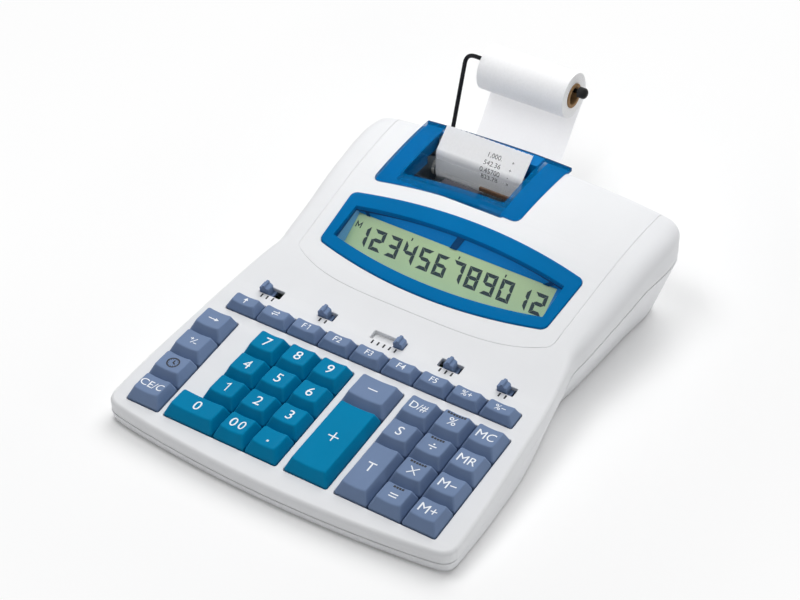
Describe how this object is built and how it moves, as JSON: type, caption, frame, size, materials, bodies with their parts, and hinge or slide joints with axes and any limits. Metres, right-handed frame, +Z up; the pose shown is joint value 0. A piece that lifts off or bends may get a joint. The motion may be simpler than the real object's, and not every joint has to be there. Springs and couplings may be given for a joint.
{
  "type": "desktop printing calculator",
  "caption": "Desk calculator with a tilted keyboard, tinted display window, slide switches and a small paper printer fed from a roll on a bent wire arm",
  "frame": {"origin": "On the surface that the calculator stands on, under the middle of its bounding box", "axes": "+X to the user's right, +Y away from the user to the paper roll, +Z up"},
  "size_m": [0.2128, 0.317, 0.0935],
  "materials": {
    "case": "fine matt off-white moulded plastic",
    "blue_key": "satin blue moulded key tops",
    "grey_key": "satin grey-blue moulded key tops",
    "tinted": "glossy translucent blue plastic",
    "lcd": "pale green liquid crystal glass with dark segments",
    "paper": "plain white paper",
    "card": "brown wound card",
    "wire": "dark plated bent wire",
    "black": "black moulded plastic",
    "rubber": "dark rubber",
    "ink": "ink-soaked dark foam rubber",
    "mechanism": "grey moulded plastic frame",
    "clear": "clear plastic strip",
    "board": "green circuit board laminate",
    "mat": "soft pale silicone rubber"
  },
  "bodies": {
    "calculator": {"upper_case": "case", "lower_case": "case", "display_window": "tinted", "lcd_panel": "lcd", "key_mat": "mat", "main_board": "board", "print_mechanism": "mechanism", "tear_bar": "clear", "paper_strip": "paper", "roll_arm": "wire", "roll_cap": "black", "power_inlet": "black"},
    "cover": {"printer_cover": "tinted"},
    "roll": {"paper_roll": "paper", "paper_core": "card"},
    "platen": {"platen_roller": "rubber"},
    "ink": {"ink_roller": "ink"},
    "switch_print": {"switch_print": "grey_key"},
    "switch_sum": {"switch_sum": "grey_key"},
    "switch_decimals": {"switch_decimals": "grey_key"},
    "switch_rounding": {"switch_rounding": "grey_key"},
    "switch_rate": {"switch_rate": "grey_key"},
    "key_clear_cap": {"key_clear": "grey_key"},
    "key_clock_cap": {"key_clock": "grey_key"},
    "key_sign_cap": {"key_sign": "grey_key"},
    "key_shift_cap": {"key_shift": "grey_key"},
    "key_0_cap": {"key_0": "blue_key"},
    "key_00_cap": {"key_00": "blue_key"},
    "key_point_cap": {"key_point": "blue_key"},
    "key_1_cap": {"key_1": "blue_key"},
    "key_2_cap": {"key_2": "blue_key"},
    "key_3_cap": {"key_3": "blue_key"},
    "key_4_cap": {"key_4": "blue_key"},
    "key_5_cap": {"key_5": "blue_key"},
    "key_6_cap": {"key_6": "blue_key"},
    "key_7_cap": {"key_7": "blue_key"},
    "key_8_cap": {"key_8": "blue_key"},
    "key_9_cap": {"key_9": "blue_key"},
    "key_plus_cap": {"key_plus": "blue_key"},
    "key_minus_cap": {"key_minus": "grey_key"},
    "key_total_cap": {"key_total": "grey_key"},
    "key_subtotal_cap": {"key_subtotal": "grey_key"},
    "key_date_cap": {"key_date": "grey_key"},
    "key_equals_cap": {"key_equals": "grey_key"},
    "key_multiply_cap": {"key_multiply": "grey_key"},
    "key_divide_cap": {"key_divide": "grey_key"},
    "key_percent_cap": {"key_percent": "grey_key"},
    "key_memory_add_cap": {"key_memory_add": "grey_key"},
    "key_memory_subtract_cap": {"key_memory_subtract": "grey_key"},
    "key_memory_recall_cap": {"key_memory_recall": "grey_key"},
    "key_memory_clear_cap": {"key_memory_clear": "grey_key"},
    "key_feed_cap": {"key_feed": "grey_key"},
    "key_convert_cap": {"key_convert": "grey_key"},
    "key_f1_cap": {"key_f1": "grey_key"},
    "key_f2_cap": {"key_f2": "grey_key"},
    "key_f3_cap": {"key_f3": "grey_key"},
    "key_f4_cap": {"key_f4": "grey_key"},
    "key_f5_cap": {"key_f5": "grey_key"},
    "key_f6_cap": {"key_f6": "grey_key"},
    "key_f7_cap": {"key_f7": "grey_key"}
  },
  "joints": [
    {"name": "cover_hinge", "type": "hinge", "parent": "calculator", "child": "cover", "pos_m": [-0.0238, 0.10748, 0.0575], "axis": [-1, 0, 0], "range_deg": [0, 70]},
    {"name": "roll_spin", "type": "hinge", "parent": "calculator", "child": "roll", "pos_m": [-0.0265, 0.14408, 0.08], "axis": [1, 0, 0], "continuous": true},
    {"name": "platen_spin", "type": "hinge", "parent": "calculator", "child": "platen", "pos_m": [-0.025, 0.09398, 0.038], "axis": [1, 0, 0], "continuous": true},
    {"name": "ink_spin", "type": "hinge", "parent": "calculator", "child": "ink", "pos_m": [-0.025, 0.06898, 0.0452], "axis": [1, 0, 0], "continuous": true},
    {"name": "switch_print_slide", "type": "slide", "parent": "calculator", "child": "switch_print", "axis": [1, 0, 0], "range_m": [0, 0.0072]},
    {"name": "switch_sum_slide", "type": "slide", "parent": "calculator", "child": "switch_sum", "axis": [1, 0, 0], "range_m": [0, 0.0036]},
    {"name": "switch_decimals_slide", "type": "slide", "parent": "calculator", "child": "switch_decimals", "axis": [1, 0, 0], "range_m": [-0.0144, 0]},
    {"name": "switch_rounding_slide", "type": "slide", "parent": "calculator", "child": "switch_rounding", "axis": [1, 0, 0], "range_m": [-0.0036, 0.0036]},
    {"name": "switch_rate_slide", "type": "slide", "parent": "calculator", "child": "switch_rate", "axis": [1, 0, 0], "range_m": [0, 0.0036]},
    {"name": "key_clear_press", "type": "slide", "parent": "calculator", "child": "key_clear_cap", "axis": [0, 0.1513, -0.9885], "range_m": [0, 0.003], "stiffness_N_per_m": 300, "springref_m": -0.0005, "deforming": ["key_mat"]},
    {"name": "key_clock_press", "type": "slide", "parent": "calculator", "child": "key_clock_cap", "axis": [0, 0.1513, -0.9885], "range_m": [0, 0.003], "stiffness_N_per_m": 300, "springref_m": -0.0005, "deforming": ["key_mat"]},
    {"name": "key_sign_press", "type": "slide", "parent": "calculator", "child": "key_sign_cap", "axis": [0, 0.1513, -0.9885], "range_m": [0, 0.003], "stiffness_N_per_m": 300, "springref_m": -0.0005, "deforming": ["key_mat"]},
    {"name": "key_shift_press", "type": "slide", "parent": "calculator", "child": "key_shift_cap", "axis": [0, 0.1513, -0.9885], "range_m": [0, 0.003], "stiffness_N_per_m": 300, "springref_m": -0.0005, "deforming": ["key_mat"]},
    {"name": "key_0_press", "type": "slide", "parent": "calculator", "child": "key_0_cap", "axis": [0, 0.1513, -0.9885], "range_m": [0, 0.003], "stiffness_N_per_m": 300, "springref_m": -0.0005, "deforming": ["key_mat"]},
    {"name": "key_00_press", "type": "slide", "parent": "calculator", "child": "key_00_cap", "axis": [0, 0.1513, -0.9885], "range_m": [0, 0.003], "stiffness_N_per_m": 300, "springref_m": -0.0005, "deforming": ["key_mat"]},
    {"name": "key_point_press", "type": "slide", "parent": "calculator", "child": "key_point_cap", "axis": [0, 0.1513, -0.9885], "range_m": [0, 0.003], "stiffness_N_per_m": 300, "springref_m": -0.0005, "deforming": ["key_mat"]},
    {"name": "key_1_press", "type": "slide", "parent": "calculator", "child": "key_1_cap", "axis": [0, 0.1513, -0.9885], "range_m": [0, 0.003], "stiffness_N_per_m": 300, "springref_m": -0.0005, "deforming": ["key_mat"]},
    {"name": "key_2_press", "type": "slide", "parent": "calculator", "child": "key_2_cap", "axis": [0, 0.1513, -0.9885], "range_m": [0, 0.003], "stiffness_N_per_m": 300, "springref_m": -0.0005, "deforming": ["key_mat"]},
    {"name": "key_3_press", "type": "slide", "parent": "calculator", "child": "key_3_cap", "axis": [0, 0.1513, -0.9885], "range_m": [0, 0.003], "stiffness_N_per_m": 300, "springref_m": -0.0005, "deforming": ["key_mat"]},
    {"name": "key_4_press", "type": "slide", "parent": "calculator", "child": "key_4_cap", "axis": [0, 0.1513, -0.9885], "range_m": [0, 0.003], "stiffness_N_per_m": 300, "springref_m": -0.0005, "deforming": ["key_mat"]},
    {"name": "key_5_press", "type": "slide", "parent": "calculator", "child": "key_5_cap", "axis": [0, 0.1513, -0.9885], "range_m": [0, 0.003], "stiffness_N_per_m": 300, "springref_m": -0.0005, "deforming": ["key_mat"]},
    {"name": "key_6_press", "type": "slide", "parent": "calculator", "child": "key_6_cap", "axis": [0, 0.1513, -0.9885], "range_m": [0, 0.003], "stiffness_N_per_m": 300, "springref_m": -0.0005, "deforming": ["key_mat"]},
    {"name": "key_7_press", "type": "slide", "parent": "calculator", "child": "key_7_cap", "axis": [0, 0.1513, -0.9885], "range_m": [0, 0.003], "stiffness_N_per_m": 300, "springref_m": -0.0005, "deforming": ["key_mat"]},
    {"name": "key_8_press", "type": "slide", "parent": "calculator", "child": "key_8_cap", "axis": [0, 0.1513, -0.9885], "range_m": [0, 0.003], "stiffness_N_per_m": 300, "springref_m": -0.0005, "deforming": ["key_mat"]},
    {"name": "key_9_press", "type": "slide", "parent": "calculator", "child": "key_9_cap", "axis": [0, 0.1513, -0.9885], "range_m": [0, 0.003], "stiffness_N_per_m": 300, "springref_m": -0.0005, "deforming": ["key_mat"]},
    {"name": "key_plus_press", "type": "slide", "parent": "calculator", "child": "key_plus_cap", "axis": [0, 0.1513, -0.9885], "range_m": [0, 0.003], "stiffness_N_per_m": 300, "springref_m": -0.0005, "deforming": ["key_mat"]},
    {"name": "key_minus_press", "type": "slide", "parent": "calculator", "child": "key_minus_cap", "axis": [0, 0.1513, -0.9885], "range_m": [0, 0.003], "stiffness_N_per_m": 300, "springref_m": -0.0005, "deforming": ["key_mat"]},
    {"name": "key_total_press", "type": "slide", "parent": "calculator", "child": "key_total_cap", "axis": [0, 0.1513, -0.9885], "range_m": [0, 0.003], "stiffness_N_per_m": 300, "springref_m": -0.0005, "deforming": ["key_mat"]},
    {"name": "key_subtotal_press", "type": "slide", "parent": "calculator", "child": "key_subtotal_cap", "axis": [0, 0.1513, -0.9885], "range_m": [0, 0.003], "stiffness_N_per_m": 300, "springref_m": -0.0005, "deforming": ["key_mat"]},
    {"name": "key_date_press", "type": "slide", "parent": "calculator", "child": "key_date_cap", "axis": [0, 0.1513, -0.9885], "range_m": [0, 0.003], "stiffness_N_per_m": 300, "springref_m": -0.0005, "deforming": ["key_mat"]},
    {"name": "key_equals_press", "type": "slide", "parent": "calculator", "child": "key_equals_cap", "axis": [0, 0.1513, -0.9885], "range_m": [0, 0.003], "stiffness_N_per_m": 300, "springref_m": -0.0005, "deforming": ["key_mat"]},
    {"name": "key_multiply_press", "type": "slide", "parent": "calculator", "child": "key_multiply_cap", "axis": [0, 0.1513, -0.9885], "range_m": [0, 0.003], "stiffness_N_per_m": 300, "springref_m": -0.0005, "deforming": ["key_mat"]},
    {"name": "key_divide_press", "type": "slide", "parent": "calculator", "child": "key_divide_cap", "axis": [0, 0.1513, -0.9885], "range_m": [0, 0.003], "stiffness_N_per_m": 300, "springref_m": -0.0005, "deforming": ["key_mat"]},
    {"name": "key_percent_press", "type": "slide", "parent": "calculator", "child": "key_percent_cap", "axis": [0, 0.1513, -0.9885], "range_m": [0, 0.003], "stiffness_N_per_m": 300, "springref_m": -0.0005, "deforming": ["key_mat"]},
    {"name": "key_memory_add_press", "type": "slide", "parent": "calculator", "child": "key_memory_add_cap", "axis": [0, 0.1513, -0.9885], "range_m": [0, 0.003], "stiffness_N_per_m": 300, "springref_m": -0.0005, "deforming": ["key_mat"]},
    {"name": "key_memory_subtract_press", "type": "slide", "parent": "calculator", "child": "key_memory_subtract_cap", "axis": [0, 0.1513, -0.9885], "range_m": [0, 0.003], "stiffness_N_per_m": 300, "springref_m": -0.0005, "deforming": ["key_mat"]},
    {"name": "key_memory_recall_press", "type": "slide", "parent": "calculator", "child": "key_memory_recall_cap", "axis": [0, 0.1513, -0.9885], "range_m": [0, 0.003], "stiffness_N_per_m": 300, "springref_m": -0.0005, "deforming": ["key_mat"]},
    {"name": "key_memory_clear_press", "type": "slide", "parent": "calculator", "child": "key_memory_clear_cap", "axis": [0, 0.1513, -0.9885], "range_m": [0, 0.003], "stiffness_N_per_m": 300, "springref_m": -0.0005, "deforming": ["key_mat"]},
    {"name": "key_feed_press", "type": "slide", "parent": "calculator", "child": "key_feed_cap", "axis": [0, 0.1513, -0.9885], "range_m": [0, 0.003], "stiffness_N_per_m": 300, "springref_m": -0.0005, "deforming": ["key_mat"]},
    {"name": "key_convert_press", "type": "slide", "parent": "calculator", "child": "key_convert_cap", "axis": [0, 0.1513, -0.9885], "range_m": [0, 0.003], "stiffness_N_per_m": 300, "springref_m": -0.0005, "deforming": ["key_mat"]},
    {"name": "key_f1_press", "type": "slide", "parent": "calculator", "child": "key_f1_cap", "axis": [0, 0.1513, -0.9885], "range_m": [0, 0.003], "stiffness_N_per_m": 300, "springref_m": -0.0005, "deforming": ["key_mat"]},
    {"name": "key_f2_press", "type": "slide", "parent": "calculator", "child": "key_f2_cap", "axis": [0, 0.1513, -0.9885], "range_m": [0, 0.003], "stiffness_N_per_m": 300, "springref_m": -0.0005, "deforming": ["key_mat"]},
    {"name": "key_f3_press", "type": "slide", "parent": "calculator", "child": "key_f3_cap", "axis": [0, 0.1513, -0.9885], "range_m": [0, 0.003], "stiffness_N_per_m": 300, "springref_m": -0.0005, "deforming": ["key_mat"]},
    {"name": "key_f4_press", "type": "slide", "parent": "calculator", "child": "key_f4_cap", "axis": [0, 0.1513, -0.9885], "range_m": [0, 0.003], "stiffness_N_per_m": 300, "springref_m": -0.0005, "deforming": ["key_mat"]},
    {"name": "key_f5_press", "type": "slide", "parent": "calculator", "child": "key_f5_cap", "axis": [0, 0.1513, -0.9885], "range_m": [0, 0.003], "stiffness_N_per_m": 300, "springref_m": -0.0005, "deforming": ["key_mat"]},
    {"name": "key_f6_press", "type": "slide", "parent": "calculator", "child": "key_f6_cap", "axis": [0, 0.1513, -0.9885], "range_m": [0, 0.003], "stiffness_N_per_m": 300, "springref_m": -0.0005, "deforming": ["key_mat"]},
    {"name": "key_f7_press", "type": "slide", "parent": "calculator", "child": "key_f7_cap", "axis": [0, 0.1513, -0.9885], "range_m": [0, 0.003], "stiffness_N_per_m": 300, "springref_m": -0.0005, "deforming": ["key_mat"]}
  ]
}
